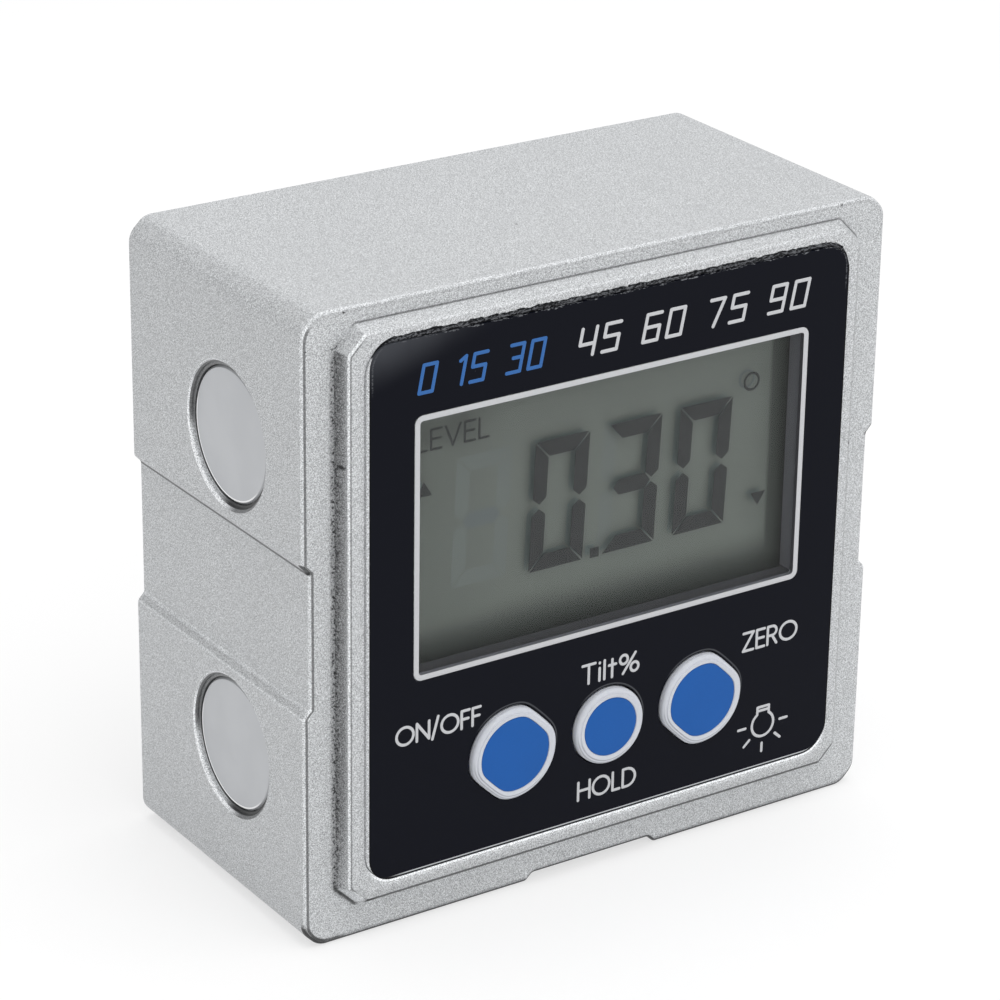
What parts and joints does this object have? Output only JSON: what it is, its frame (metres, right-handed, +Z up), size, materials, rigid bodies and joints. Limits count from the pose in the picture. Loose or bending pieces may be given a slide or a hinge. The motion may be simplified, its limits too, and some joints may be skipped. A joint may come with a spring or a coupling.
{
  "type": "digital inclinometer",
  "caption": "Square digital level box: cast metal case with magnets set in three sides, raised front panel with a display window and keys, and a rear cell bay.",
  "frame": {"origin": "on the plane that the base stands on, under the middle of the whole part", "axes": "+X to the right as seen from the front, +Y from the front to the back, +Z up"},
  "size_m": [0.06, 0.0312, 0.058],
  "materials": {
    "case_paint": "fine sand-textured silver paint, satin",
    "magnet_metal": "smooth matte plating",
    "label_black": "glossy black printed sheet",
    "window_clear": "clear acrylic, polished",
    "lcd_grey": "grey reflective display glass",
    "guide_white": "milky light guide",
    "frame_grey": "moulded plastic, matte",
    "strip_rubber": "conductive rubber, matte",
    "board_green": "circuit board, solder mask",
    "chip_black": "moulded chip package",
    "component_tan": "small soldered parts",
    "lamp_body": "lamp package",
    "key_pale": "milky plastic, satin gloss",
    "key_blue": "blue plastic, satin",
    "switch_black": "moulded switch body",
    "screw_steel": "plated screws",
    "cover_plastic": "fine textured black plastic",
    "cell_sleeve": "plain printed sleeve",
    "contact_metal": "nickel-plated spring steel"
  },
  "bodies": {
    "case": {"housing": "case_paint", "magnet_base_left": "magnet_metal", "magnet_base_right": "magnet_metal", "magnet_left_upper": "magnet_metal", "magnet_left_lower": "magnet_metal", "magnet_right_upper": "magnet_metal", "magnet_right_lower": "magnet_metal", "face_label": "label_black", "display_window": "window_clear", "lcd_glass": "lcd_grey", "light_guide": "guide_white", "backlight_lamp": "lamp_body", "display_frame": "frame_grey", "contact_strip_lower": "strip_rubber", "contact_strip_upper": "strip_rubber", "main_board": "board_green", "controller_chip": "chip_black", "sensor_chip": "chip_black", "board_components": "component_tan", "board_screws": "screw_steel", "back_cover": "cover_plastic", "cover_screws": "screw_steel", "battery_cell_upper": "cell_sleeve", "battery_cell_lower": "cell_sleeve", "contact_negative": "contact_metal", "contact_positive": "contact_metal", "contact_bridge": "contact_metal", "cell_spring_upper": "contact_metal", "cell_spring_lower": "contact_metal", "power_switch_body": "switch_black", "units_switch_body": "switch_black", "zero_switch_body": "switch_black"},
    "power_key": {"power_key_cap": "key_pale", "power_key_face": "key_blue", "power_switch_plunger": "switch_black"},
    "units_key": {"units_key_cap": "key_pale", "units_key_face": "key_blue", "units_switch_plunger": "switch_black"},
    "zero_key": {"zero_key_cap": "key_pale", "zero_key_face": "key_blue", "zero_switch_plunger": "switch_black"},
    "battery_door": {"battery_door": "cover_plastic"}
  },
  "joints": [
    {"name": "power_key_press", "type": "slide", "parent": "case", "child": "power_key", "axis": [0, 1, 0], "range_m": [0, 0.0004], "stiffness_N_per_m": 2500, "springref_m": -0.0002},
    {"name": "units_key_press", "type": "slide", "parent": "case", "child": "units_key", "axis": [0, 1, 0], "range_m": [0, 0.0004], "stiffness_N_per_m": 2500, "springref_m": -0.0002},
    {"name": "zero_key_press", "type": "slide", "parent": "case", "child": "zero_key", "axis": [0, 1, 0], "range_m": [0, 0.0004], "stiffness_N_per_m": 2500, "springref_m": -0.0002},
    {"name": "battery_door_hinge", "type": "hinge", "parent": "case", "child": "battery_door", "pos_m": [0, 0.01562, 0.01665], "axis": [-1, 0, 0], "range_deg": [0, 80]}
  ]
}
